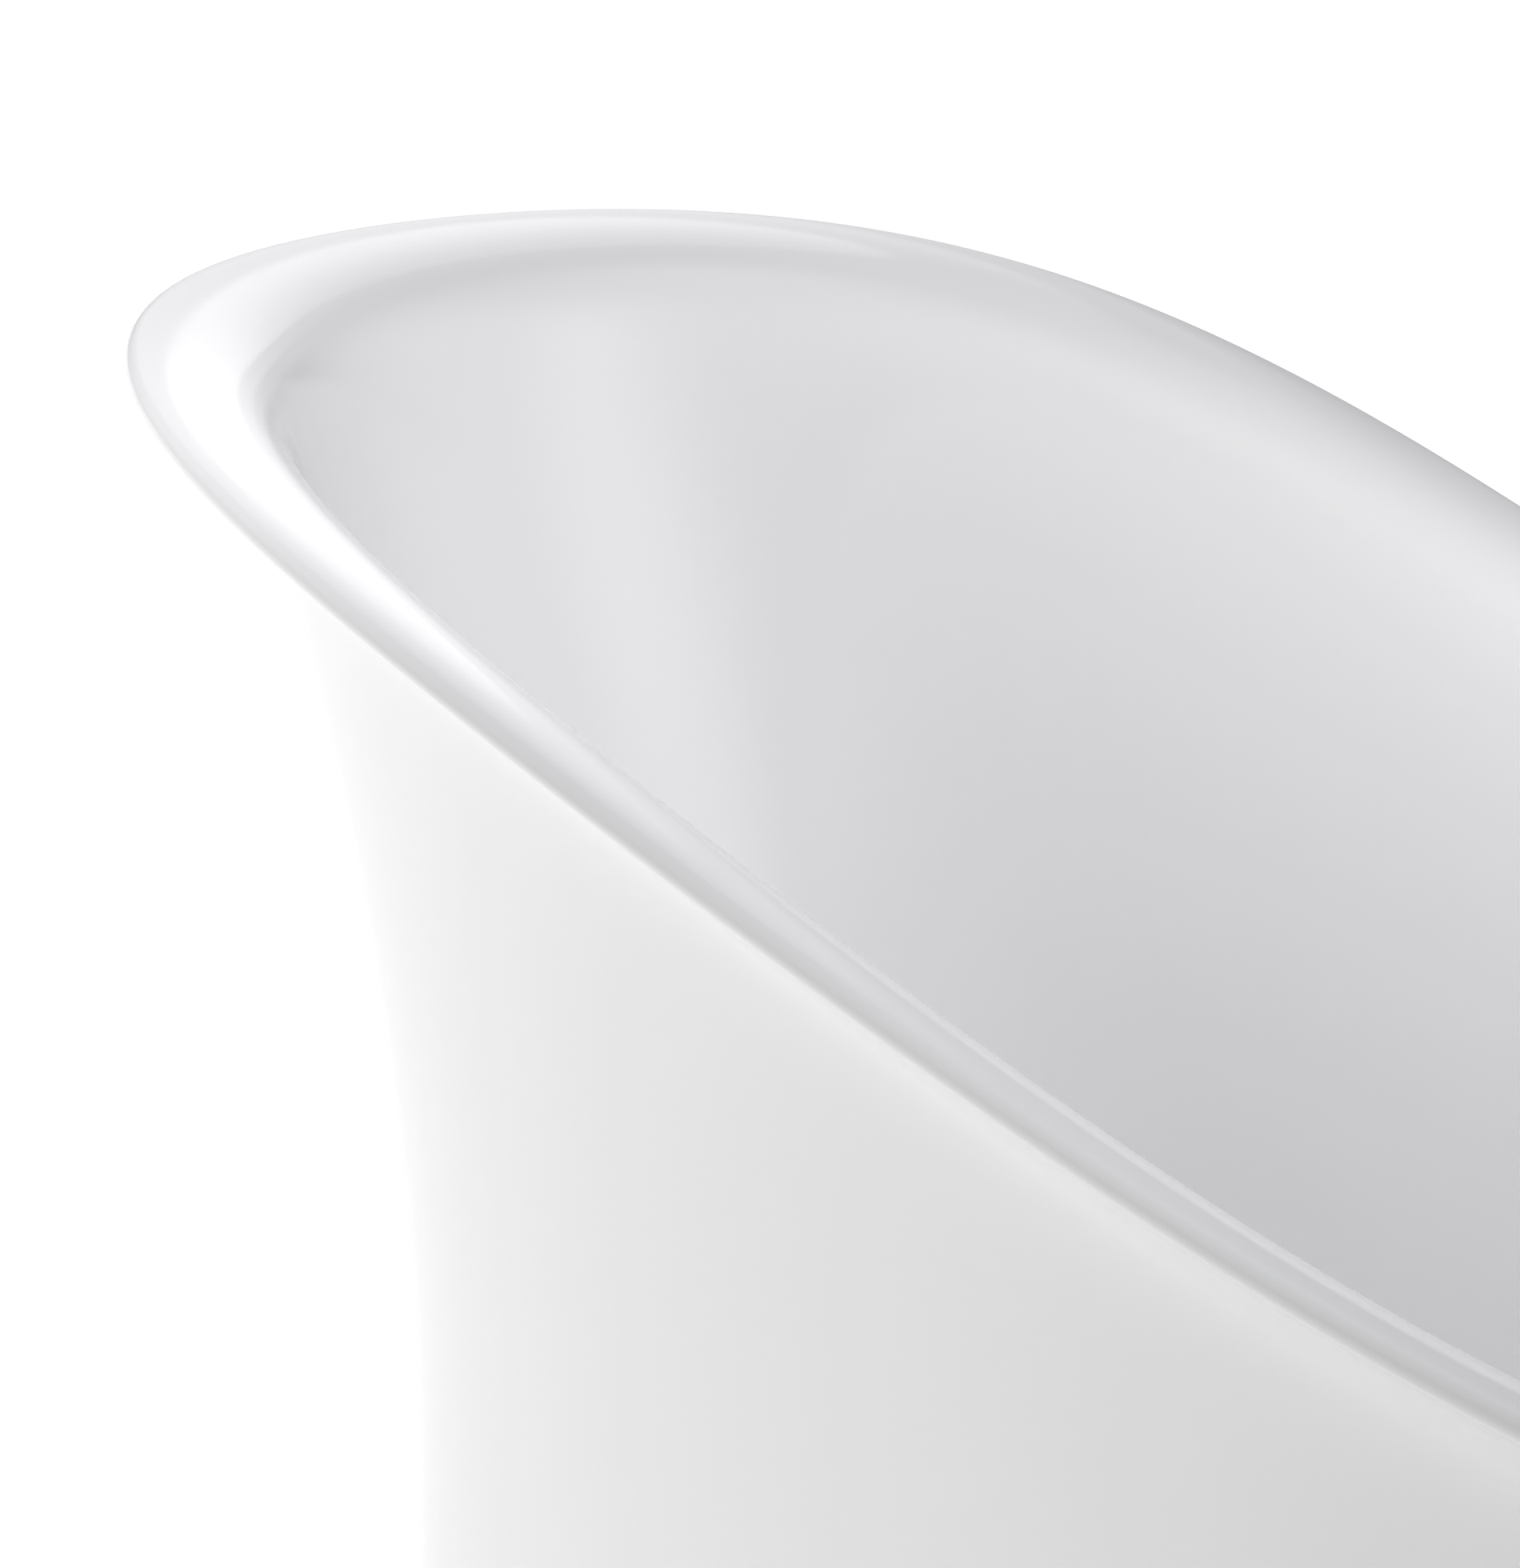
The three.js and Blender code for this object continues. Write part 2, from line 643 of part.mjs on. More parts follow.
/** Chrome trim plate with a shaft hole and a circle of water slots. */
function overflowPlate() {
  const outline = new THREE.Shape().absarc(0, 0, 30, 0, 2 * Math.PI);
  outline.holes.push(new THREE.Path().absarc(0, 0, SHAFT + CLEARANCE, 0, 2 * Math.PI, true));
  const slots = 8;
  for (let i = 0; i < slots; i += 1) {
    const angle = (2 * Math.PI * (i + 0.5)) / slots;
    const slot = new THREE.Path();
    slot.absarc(14.5 * Math.cos(angle), 14.5 * Math.sin(angle), 3.6, 0, 2 * Math.PI, true);
    outline.holes.push(slot);
  }
  const settings = { depth: PLATE_FRONT - PLATE_BACK, bevelEnabled: false, curveSegments: 8 };
  const plate = new THREE.ExtrudeGeometry(outline, settings).translate(0, 0, PLATE_BACK);
  return atOverflow(closedBody(plate));
}

/** Round knob with finger notches, on a shaft that reaches back into the overflow body. */
function overflowKnob() {
  const face = new THREE.Shape();
  const notches = 6;
  const steps = 48;
  for (let i = 0; i <= steps; i += 1) {
    const angle = (2 * Math.PI * i) / steps;
    const radius = 25 - 1.6 * Math.max(0, Math.cos(notches * angle)) ** 3;
    if (i === 0) face.moveTo(radius, 0);
    else face.lineTo(radius * Math.cos(angle), radius * Math.sin(angle));
  }
  const settings = {
    depth: 10,
    bevelEnabled: true,
    bevelThickness: 2,
    bevelSize: 2,
    bevelOffset: -2,
    bevelSegments: 2,
  };
  const head = closedBody(new THREE.ExtrudeGeometry(face, settings).translate(0, 0, 17));
  return atOverflow(join([head, rod(11, PLATE_FRONT + 1, 16), rod(SHAFT, -28, 16)]));
}

function overflowBody() {
  const flange = GASKET_BACK - GAP;
  const cup = turned([
    [20, flange],
    [27, flange],
    [27, flange - 3],
    [23, flange - 3],
    [23, BODY_BACK],
    [0, BODY_BACK],
    [0, BODY_BACK + 3],
    [20, BODY_BACK + 3],
  ]);
  const spigot = ring(HOSE_BORE, HOSE_RADIUS, 21, -SPIGOT_END);
  spigot.rotateY(-Math.PI / 2).translate(0, 0, SPIGOT_DEPTH);
  const port = rod(HOSE_BORE, 12, 24);
  port.rotateY(-Math.PI / 2).translate(0, 0, SPIGOT_DEPTH);
  return atOverflow(cut(join([cup, spigot]), [port]));
}

/** Route of the overflow hose, between the foot-end wall and the skirt, as [x, z] from the top. */
const HOSE_ROUTE = [
  [691, 400],
  [673, 350],
  [656, 300],
  [641, 250],
  [630, 200],
  [616, 140],
  [582, 86],
  [520, HOSE_PORT_HEIGHT],
  [450, HOSE_PORT_HEIGHT],
];

function overflowHose() {
  const joint = SPIGOT_END - 2 * GAP;
  const top = [joint, joint - 12].map((along) => (
    new THREE.Vector3(along, 0, SPIGOT_DEPTH).applyMatrix4(overflowTurn)));
  const finish = new THREE.Vector3(WASTE_X + WASTE_RADIUS + 14 + GAP, 0, HOSE_PORT_HEIGHT);
  const middle = HOSE_ROUTE.map(([x, z]) => new THREE.Vector3(x, 0, z));
  return tubeAlong([...top, ...middle, finish], HOSE_RADIUS, HOSE_BORE, 26, 5);
}

/** Cable that carries the knob's turn to the waste, clipped beside the hose. */
function controlCable() {
  const side = 17;
  const start = new THREE.Vector3(-17.5, side, SPIGOT_DEPTH).applyMatrix4(overflowTurn);
  const middle = HOSE_ROUTE.map(([x, z]) => new THREE.Vector3(x, side, z));
  const finish = new THREE.Vector3(WASTE_X + WASTE_RADIUS - 2, side, HOSE_PORT_HEIGHT + 6);
  return tubeAlong([start, ...middle, finish], 2.5, 0, 28, 3);
}

/** Ring nut round a hose joint, made about +Z and centred on it. */
const hoseNut = () => ring(HOSE_RADIUS + CLEARANCE, HOSE_RADIUS + 3.4, -7, 7, 16);

function addOverflow(shell) {
  const front = atOverflow(ring(OVERFLOW_HOLE, 27, -0.5, PLATE_BACK - GAP));
  const rear = atOverflow(ring(OVERFLOW_HOLE, 27, GASKET_BACK, -2));
  addPiece('overflow_gasket_front', cut(front, [shiftedShell(shell, GAP)]), rubber());
  addPiece('overflow_gasket_rear', cut(rear, [shiftedShell(shell, -GAP)]), rubber());
  addPiece('overflow_plate', overflowPlate(), chrome());
  addPiece('overflow_knob', overflowKnob(), chrome());
  addPiece('overflow_body', overflowBody(), pipePlastic());
  addPiece('overflow_hose', overflowHose(), pipePlastic());
  const upper = hoseNut().rotateY(-Math.PI / 2).translate(SPIGOT_END + 2, 0, SPIGOT_DEPTH);
  addPiece('hose_nut_upper', atOverflow(upper), pipePlastic());
  const lowerX = WASTE_X + WASTE_RADIUS + 12;
  const lower = hoseNut().rotateY(Math.PI / 2).translate(lowerX, 0, HOSE_PORT_HEIGHT);
  addPiece('hose_nut_lower', lower, pipePlastic());
  addPiece('control_cable', controlCable(), rubber());
}

const fullShell = addTub();
addFrame();
addFeet();
addWaste();
addOverflow(fullShell);

export default bathtub;
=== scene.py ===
"""Freestanding slipper bathtub: fine surfaces, materials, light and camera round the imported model.

Metres, +Z up, the CAD model's own frame: the raised backrest end is at -X, the foot end with the
waste and the overflow at +X.
"""

import math

import bmesh
import bpy
import numpy as np
from mathutils import Matrix, Vector


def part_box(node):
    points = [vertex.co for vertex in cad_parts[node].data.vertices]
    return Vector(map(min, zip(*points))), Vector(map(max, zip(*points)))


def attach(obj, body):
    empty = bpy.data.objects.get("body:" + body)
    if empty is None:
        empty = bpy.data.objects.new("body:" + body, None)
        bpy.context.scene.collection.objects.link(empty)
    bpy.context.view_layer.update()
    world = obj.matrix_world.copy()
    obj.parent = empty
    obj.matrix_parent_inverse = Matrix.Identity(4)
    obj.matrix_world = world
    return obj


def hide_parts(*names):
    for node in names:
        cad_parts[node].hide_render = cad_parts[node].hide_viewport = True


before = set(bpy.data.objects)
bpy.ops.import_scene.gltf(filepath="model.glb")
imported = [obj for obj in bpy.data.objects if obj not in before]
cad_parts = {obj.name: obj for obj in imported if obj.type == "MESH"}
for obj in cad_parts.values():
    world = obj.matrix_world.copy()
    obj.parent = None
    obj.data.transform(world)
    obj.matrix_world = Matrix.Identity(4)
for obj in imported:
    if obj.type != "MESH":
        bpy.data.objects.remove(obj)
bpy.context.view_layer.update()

# ---- The tub's driving dimensions, in metres ------------------------------------------------------

HALF_LENGTH = 0.882
HALF_WIDTH = 0.337
EGG_SHIFT = 0.194
EGG_FULLNESS = 0.327
RIM_HIGH = 0.792
RIM_LOW = 0.575
RIM_SWEEP = 2.1 * HALF_LENGTH
RIM_START_SLOPE = 0.08
LIP_RADIUS = 0.007
SKIRT_FLARE = (0.076, 0.033)
SKIRT_FLARE_DEPTH = 0.0245
SKIRT_SWEEP = (0.139, 0.061)
WAIST_HEIGHT = 0.132
SKIRT_FOOT = 0.003
SKIRT_THICKNESS = 0.004
FLOOR_TOP = 0.150
SHELL_THICKNESS = 0.005
BASIN_FLARE_BACK, BASIN_FLARE_FOOT, BASIN_FLARE_SIDE = 0.105, 0.145, 0.060
FLARE_DEPTH_END, FLARE_DEPTH_SIDE = 0.031, 0.048
BASIN_RUN_BACK, BASIN_RUN_FOOT, BASIN_RUN_SIDE = 0.366, 0.215, 0.090
WALL_POWER = 1.6
DRAIN_HOLE = 0.026
OVERFLOW_HOLE = 0.020
WASTE_X = 0.330
OVERFLOW_DEPTH = 0.088
SPIGOT_DEPTH = -0.022
HOSE_PORT = 0.066
HOSE_ROUTE = [
    (0.691, 0.400), (0.673, 0.350), (0.656, 0.300), (0.641, 0.250), (0.630, 0.200),
    (0.616, 0.140), (0.582, 0.086), (0.520, 0.066), (0.450, 0.066),
]
PLAN_STEPS = 320

# ---- Camera ---------------------------------------------------------------------------------------

VIEW_AZIMUTH, VIEW_ELEVATION = 58.35, 18.66
VIEW_TARGET = (-0.45, -0.05, 0.48)
VIEW_BACK, VIEW_RIGHT, VIEW_UP = 2.8432, 0.0492, 0.0547
LENS, SENSOR_WIDTH = 110.0, 36.0


def make_camera():
    """The photograph's view: over the near side towards the raised end, through a long lens."""
    azimuth, elevation = math.radians(VIEW_AZIMUTH), math.radians(VIEW_ELEVATION)
    back = Vector((
        math.sin(azimuth) * math.cos(elevation),
        -math.cos(azimuth) * math.cos(elevation),
        math.sin(elevation),
    ))
    right = Vector((math.cos(azimuth), math.sin(azimuth), 0.0))
    up = back.cross(right)
    camera = bpy.data.objects.new("camera", bpy.data.cameras.new("camera"))
    bpy.context.scene.collection.objects.link(camera)
    camera.location = Vector(VIEW_TARGET) + VIEW_BACK * back + VIEW_RIGHT * right + VIEW_UP * up
    camera.rotation_euler = Matrix((right, up, back)).transposed().to_euler()
    camera.data.lens = LENS
    camera.data.sensor_width = SENSOR_WIDTH
    camera.data.clip_end = 100.0
    bpy.context.scene.camera = camera


# ---- Tub surfaces ---------------------------------------------------------------------------------

ANGLES = np.linspace(0, 2 * np.pi, PLAN_STEPS, endpoint=False)
ALONG, ACROSS = np.cos(ANGLES), np.sin(ANGLES)
EGG = 1 - EGG_SHIFT * ALONG + EGG_FULLNESS * ALONG ** 2
END_SHARE = ALONG ** 2
BACK_SHARE = (1 - ALONG) / 2


def rim_height():
    """Height of the rim's crown all round, level at the backrest and falling in one long S."""
    s = HALF_LENGTH * (1 + ALONG) / RIM_SWEEP
    fall = 2 * s ** 3 - 3 * s ** 2 + 1
    lead = s ** 3 - 2 * s ** 2 + s
    return RIM_LOW + (RIM_HIGH - RIM_LOW) * (fall - RIM_START_SLOPE * lead)


CROWN = rim_height()


def outline(end_inset, side_inset, height):
    """A ring of points: the egg-shaped outline pulled in by an end inset and a side inset."""
    x = (HALF_LENGTH - end_inset) * ALONG
    y = (HALF_WIDTH - side_inset) * ACROSS * EGG
    return np.stack([x, y, np.broadcast_to(height, x.shape)], axis=-1)


def skirt_ring(share, thickness):
    """The skirt's face at a share of the way down, moved inward by a thickness."""
    top = CROWN - 2 * LIP_RADIUS
    depth = (top - SKIRT_FOOT) * share
    reach = top - WAIST_HEIGHT
    decay = np.exp(-depth / SKIRT_FLARE_DEPTH)
    sweep = 1 - (1 - depth / reach) ** 2
    flare_slope = decay / SKIRT_FLARE_DEPTH
    sweep_slope = 2 * (1 - depth / reach) / reach
    insets, slopes = [], []
    for flare_size, sweep_size in zip(SKIRT_FLARE, SKIRT_SWEEP):
        slope = flare_size * flare_slope + sweep_size * sweep_slope
        slopes.append(slope)
        insets.append(
            LIP_RADIUS + flare_size * (1 - decay) + sweep_size * sweep + thickness / np.hypot(1, slope)
        )
    slope = slopes[1] + (slopes[0] - slopes[1]) * END_SHARE
    height = top - depth + thickness * slope / np.hypot(1, slope)
    return outline(insets[0], insets[1], np.minimum(height, top - 0.0003))


def basin_profile(share):
    """Depth, end inset and side inset of the basin's face at a share of the way to the floor."""
    drop = CROWN - FLOOR_TOP
    depth = drop * (1 - (1 - share) ** WALL_POWER)
    flare_depth = FLARE_DEPTH_SIDE + (FLARE_DEPTH_END - FLARE_DEPTH_SIDE) * END_SHARE
    flare = np.sqrt(1 - np.exp(-2 * depth / flare_depth))
    end_flare = BASIN_FLARE_FOOT + (BASIN_FLARE_BACK - BASIN_FLARE_FOOT) * BACK_SHARE
    end_run = BASIN_RUN_FOOT + (BASIN_RUN_BACK - BASIN_RUN_FOOT) * BACK_SHARE
    end = LIP_RADIUS + end_flare * flare + end_run * share
    side = LIP_RADIUS + BASIN_FLARE_SIDE * flare + BASIN_RUN_SIDE * share
    return depth, end, side


def basin_ring(share, thickness):
    """A ring of the basin's face, or of its back when a thickness is given."""
    depth, end, side = basin_profile(share)
    step = 1e-4
    above, below = basin_profile(max(share - step, 0)), basin_profile(min(share + step, 1))
    fall, end_run, side_run = (below[i] - above[i] for i in range(3))
    run = side_run + (end_run - side_run) * END_SHARE
    return outline(
        end - thickness * fall / np.hypot(fall, end_run),
        side - thickness * fall / np.hypot(fall, side_run),
        CROWN - depth - thickness * run / np.hypot(fall, run),
    )


def lip_ring(degrees):
    """A ring of the rolled lip; 90 degrees is its crown, 0 its nose, -90 its underside."""
    turn = math.radians(degrees)
    inset = LIP_RADIUS * (1 - math.cos(turn))
    return outline(inset, inset, CROWN + LIP_RADIUS * (math.sin(turn) - 1))


def overflow_frame():
    """The overflow's own frame: +Z along its axis into the basin and +X up along the wall."""
    def wall_point(depth):
        share = 1 - (1 - depth / (CROWN[0] - FLOOR_TOP)) ** (1 / WALL_POWER)
        return Vector(basin_ring(share, 0)[0])
    seat, below = wall_point(OVERFLOW_DEPTH), wall_point(OVERFLOW_DEPTH + 0.001)
    lean = math.atan2(seat.x - below.x, seat.z - below.z)
    return Matrix.Translation(seat) @ Matrix.Rotation(lean - math.pi / 2, 4, "Y")


OVERFLOW = overflow_frame()
TOWARDS_X = Matrix.Rotation(math.pi / 2, 4, "Y")
TOWARDS_MINUS_X = Matrix.Rotation(-math.pi / 2, 4, "Y")

# ---- Mesh helpers ---------------------------------------------------------------------------------

SMOOTH_UP_TO = math.radians(38)
BEVEL_FROM = math.radians(40)

def piece(name, shape):
    """A mesh object with its faces turned outward."""
    verts, faces = shape
    mesh = bpy.data.meshes.new(name)
    mesh.from_pydata([tuple(v) for v in verts], [], faces)
    bm = bmesh.new()
    bm.from_mesh(mesh)
    bmesh.ops.recalc_face_normals(bm, faces=bm.faces)
    bm.to_mesh(mesh)
    bm.free()
    obj = bpy.data.objects.new(name, mesh)
    bpy.context.scene.collection.objects.link(obj)
    return obj


def loft(rings, caps=None):
    """Vertices and faces of a body through rings; it closes on itself unless it has two caps."""
    count = len(rings[0])
    verts = [tuple(p) for ring in rings for p in ring]
    faces = []
    strips = len(rings) - 1 if caps else len(rings)
    for r in range(strips):
        low, high = r * count, (r + 1) % len(rings) * count
        for i in range(count):
            j = (i + 1) % count
            faces.append((low + i, low + j, high + j, high + i))
    if caps:
        start, end = len(verts), len(verts) + 1
        last = (len(rings) - 1) * count
        verts.extend(tuple(p) for p in caps)
        for i in range(count):
            j = (i + 1) % count
            faces.append((start, j, i))
            faces.append((end, last + i, last + j))
    return verts, faces


def rounded(profile, radius, closed=False):
    """The profile with its corners eased; an open one keeps its two end points."""
    points = np.array(profile, float)
    count = len(points)
    eased = []
    for i, corner in enumerate(points):
        if not closed and i in (0, count - 1):
            eased.append(tuple(corner))
            continue
        before, after = points[i - 1] - corner, points[(i + 1) % count] - corner
        start = corner + before * min(radius / np.hypot(*before), 0.45)
        end = corner + after * min(radius / np.hypot(*after), 0.45)
        for t in (0.0, 0.3, 0.7, 1.0):
            eased.append(tuple((1 - t) ** 2 * start + 2 * t * (1 - t) * corner + t ** 2 * end))
    return eased


def turned(name, profile, closed=False, steps=64, shape=None):
    """Turns a profile of (radius, height) about Z. A closed one leaves a bore; an open one has its
    first and last points on the axis. A shape changes each ring's radius with the angle."""
    angles = np.linspace(0, 2 * np.pi, steps, endpoint=False)
    rings = []
    for radius, height in (profile if closed else profile[1:-1]):
        radii = shape(angles, radius) if shape else np.full(steps, radius)
        x, y = radii * np.cos(angles), radii * np.sin(angles)
        rings.append(np.stack([x, y, np.full(steps, height)], axis=-1))
    caps = None if closed else ((0, 0, profile[0][1]), (0, 0, profile[-1][1]))
    return piece(name, loft(rings, caps))


def rod(name, radius, bottom, top, steps=64):
    return turned(name, [(0, bottom), (radius, bottom), (radius, top), (0, top)], steps=steps)


def thread(outer, inner, bottom, top, pitch):
    """Profile of a screw thread's ridges between two heights."""
    count = int((top - bottom) / pitch)
    step = (top - bottom) / count
    points = []
    for low in bottom + step * np.arange(count):
        points += [(inner, low), (inner, low + 0.15 * step), (outer, low + 0.45 * step),
                   (outer, low + 0.6 * step), (inner, low + 0.9 * step)]
    return points + [(inner, top)]


def hexagon(across_flats, chamfer):
    """Shape for turned(): six flats, on rings wider than the chamfer's radius."""
    def shape(angles, radius):
        flats = across_flats / 2 / np.cos(np.mod(angles, np.pi / 3) - np.pi / 6)
        return np.minimum(flats, radius) if radius > chamfer else np.full_like(angles, radius)
    return shape


def grooves(count, depth, start, power=1.5):
    """Shape for turned(): grooves round every ring wider than start."""
    def shape(angles, radius):
        cut = depth * (0.5 + 0.5 * np.cos(count * angles)) ** power
        return radius - cut if radius > start else np.full_like(angles, radius)
    return shape


def combine(obj, others, operation):
    """Joins other meshes to a piece or cuts them out of it, and drops them."""
    for other in others:
        step = obj.modifiers.new("step", "BOOLEAN")
        step.operation = operation
        step.object = other
        step.solver = "EXACT"
    bpy.context.view_layer.update()
    evaluated = obj.evaluated_get(bpy.context.evaluated_depsgraph_get())
    obj.data, whole = bpy.data.meshes.new_from_object(evaluated), obj.data
    obj.modifiers.clear()
    bpy.data.meshes.remove(whole)
    for other in others:
        bpy.data.objects.remove(other)


def along_curve(points, step):
    """Distances, centres and upward axes along a smooth curve through points at one Y."""
    knots = np.array([tuple(p) for p in points])
    chord = np.concatenate([[0], np.cumsum(np.linalg.norm(np.diff(knots, axis=0), axis=1))])
    slope = np.gradient(knots, chord, axis=0)
    length = np.linspace(0, chord[-1], int(chord[-1] / step))
    i = np.clip(np.searchsorted(chord, length, "right") - 1, 0, len(knots) - 2)
    span = (chord[i + 1] - chord[i])[:, None]
    t = (length - chord[i])[:, None] / span
    centres = (
        (2 * t ** 3 - 3 * t ** 2 + 1) * knots[i] + (t ** 3 - 2 * t ** 2 + t) * span * slope[i]
        + (3 * t ** 2 - 2 * t ** 3) * knots[i + 1] + (t ** 3 - t ** 2) * span * slope[i + 1]
    )
    tangent = np.gradient(centres, axis=0)
    tangent /= np.linalg.norm(tangent, axis=1)[:, None]
    return length, centres, np.cross(tangent, (0, 1, 0))


def tube_rings(centres, upward, radii):
    angles = np.linspace(0, 2 * np.pi, 28, endpoint=False)
    sideways = np.array((0, 1, 0))
    return [
        centre + radius * (np.cos(angles)[:, None] * sideways + np.sin(angles)[:, None] * up)
        for centre, up, radius in zip(centres, upward, radii)
    ]


def settle(obj, body, node, finish):
    """Gives a piece its finish and shading, hides its CAD node and ties the piece to its body."""
    material, slot = finish
    obj.data.materials.clear()
    obj.data.materials.append(material)
    obj.data.shade_smooth()
    obj.data.set_sharp_from_angle(angle=SMOOTH_UP_TO)
    if node not in ("basin_shell", "outer_skirt"):
        obj.modifiers.new("even", "WEIGHTED_NORMAL").keep_sharp = True
    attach(obj, body)
    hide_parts(node)


def dress(node, finish, easing):
    """Gives a CAD node its finish, with its sharp edges eased."""
    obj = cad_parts[node]
    material, slot = finish
    obj.data.materials.clear()
    obj.data.materials.append(material)
    obj.modifiers.new("weld", "WELD").merge_threshold = 0.00001
    bevel = obj.modifiers.new("ease", "BEVEL")
    bevel.width = easing
    bevel.segments = 3
    bevel.angle_limit = BEVEL_FROM
    obj.modifiers.new("even", "WEIGHTED_NORMAL").keep_sharp = True


def place(obj, x, y):
    obj.location.x, obj.location.y = x, y


def node_centre(node):
    low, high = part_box(node)
    return (low.x + high.x) / 2, (low.y + high.y) / 2


# ---- Materials ------------------------------------------------------------------------------------


def new_material(name):
    material = bpy.data.materials.new(name)
    material.use_nodes = True
    tree = material.node_tree
    return material, tree, tree.nodes["Principled BSDF"]


def noise(tree, scale, detail=2.0, coordinates=None):
    node = tree.nodes.new("ShaderNodeTexNoise")
    node.inputs["Scale"].default_value = scale
    node.inputs["Detail"].default_value = detail
    place = coordinates or tree.nodes.new("ShaderNodeTexCoord").outputs["Object"]
    tree.links.new(place, node.inputs["Vector"])
    return node


def vary(tree, source, socket, low, high):
    """Feeds a socket with a noise value spread from low to high."""
    node = tree.nodes.new("ShaderNodeMapRange")
    node.inputs["From Min"].default_value = 0.3
    node.inputs["From Max"].default_value = 0.7
    node.inputs["To Min"].default_value = low
    node.inputs["To Max"].default_value = high
    tree.links.new(source, node.inputs["Value"])
    tree.links.new(node.outputs["Result"], socket)


def bump(tree, shader, source, strength, distance):
    node = tree.nodes.new("ShaderNodeBump")
    node.inputs["Strength"].default_value = strength
    node.inputs["Distance"].default_value = distance
    tree.links.new(source, node.inputs["Height"])
    tree.links.new(node.outputs["Normal"], shader.inputs["Normal"])


def tint(tree, source, socket, dark, light):
    """Feeds a colour socket with a mix of two close shades."""
    ramp = tree.nodes.new("ShaderNodeValToRGB")
    ramp.color_ramp.elements[0].position = 0.3
    ramp.color_ramp.elements[0].color = (*dark, 1)
    ramp.color_ramp.elements[1].position = 0.7
    ramp.color_ramp.elements[1].color = (*light, 1)
    tree.links.new(source, ramp.inputs["Fac"])
    tree.links.new(ramp.outputs["Color"], socket)


def gloss_acrylic():
    """Sheet acrylic, polished: nearly even white with a very faint orange peel."""
    material, tree, shader = new_material("gloss_acrylic")
    tint(tree, noise(tree, 3.0).outputs["Fac"], shader.inputs["Base Color"],
         (0.865, 0.865, 0.872), (0.875, 0.875, 0.880))
    vary(tree, noise(tree, 60.0).outputs["Fac"], shader.inputs["Roughness"], 0.10, 0.15)
    bump(tree, shader, noise(tree, 220.0).outputs["Fac"], 0.02, 0.0002)
    shader.inputs["IOR"].default_value = 1.49
    return material, "acrylic"


def cured_adhesive():
    material, tree, shader = new_material("cured_adhesive")
    tint(tree, noise(tree, 40.0).outputs["Fac"], shader.inputs["Base Color"],
         (0.60, 0.60, 0.55), (0.72, 0.72, 0.68))
    vary(tree, noise(tree, 90.0).outputs["Fac"], shader.inputs["Roughness"], 0.5, 0.75)
    bump(tree, shader, noise(tree, 300.0, 4.0).outputs["Fac"], 0.4, 0.0005)
    return material, "adhesive"


def birch_plywood():
    """Long grain on the faces, stacked plies on the edges."""
    material, tree, shader = new_material("birch_plywood")
    place = tree.nodes.new("ShaderNodeTexCoord").outputs["Object"]
    stretch = tree.nodes.new("ShaderNodeMapping")
    stretch.inputs["Scale"].default_value = (1.5, 22.0, 22.0)
    tree.links.new(place, stretch.inputs["Vector"])
    grain = noise(tree, 6.0, 6.0, stretch.outputs["Vector"])
    plies = tree.nodes.new("ShaderNodeTexWave")
    plies.bands_direction = "Z"
    plies.inputs["Scale"].default_value = 110.0
    plies.inputs["Distortion"].default_value = 0.6
    tree.links.new(place, plies.inputs["Vector"])
    facing = tree.nodes.new("ShaderNodeSeparateXYZ")
    tree.links.new(tree.nodes.new("ShaderNodeNewGeometry").outputs["Normal"], facing.inputs[0])
    flat = tree.nodes.new("ShaderNodeMath")
    flat.operation = "ABSOLUTE"
    tree.links.new(facing.outputs["Z"], flat.inputs[0])
    pick = tree.nodes.new("ShaderNodeMix")
    tree.links.new(flat.outputs[0], pick.inputs["Factor"])
    tree.links.new(plies.outputs["Fac"], pick.inputs["A"])
    tree.links.new(grain.outputs["Fac"], pick.inputs["B"])
    tint(tree, pick.outputs["Result"], shader.inputs["Base Color"],
         (0.38, 0.22, 0.10), (0.62, 0.43, 0.24))
    vary(tree, grain.outputs["Fac"], shader.inputs["Roughness"], 0.55, 0.75)
    bump(tree, shader, grain.outputs["Fac"], 0.3, 0.0006)
    return material, "plywood"


def galvanised_steel():
    """Zinc spangle: patches of slightly different grey and polish."""
    material, tree, shader = new_material("galvanised_steel")
    spangle = tree.nodes.new("ShaderNodeTexVoronoi")
    spangle.inputs["Scale"].default_value = 150.0
    tree.links.new(tree.nodes.new("ShaderNodeTexCoord").outputs["Object"], spangle.inputs["Vector"])
    tint(tree, spangle.outputs["Color"], shader.inputs["Base Color"],
         (0.42, 0.43, 0.45), (0.58, 0.59, 0.61))
    vary(tree, spangle.outputs["Color"], shader.inputs["Roughness"], 0.32, 0.5)
    bump(tree, shader, noise(tree, 400.0, 3.0).outputs["Fac"], 0.15, 0.0002)
    shader.inputs["Metallic"].default_value = 1.0
    return material, "zinc_steel"


def polished_chrome():
    material, tree, shader = new_material("polished_chrome")
    tint(tree, noise(tree, 25.0).outputs["Fac"], shader.inputs["Base Color"],
         (0.72, 0.73, 0.75), (0.80, 0.81, 0.82))
    vary(tree, noise(tree, 140.0, 4.0).outputs["Fac"], shader.inputs["Roughness"], 0.05, 0.12)
    bump(tree, shader, noise(tree, 700.0).outputs["Fac"], 0.03, 0.0001)
    shader.inputs["Metallic"].default_value = 1.0
    return material, "chrome"


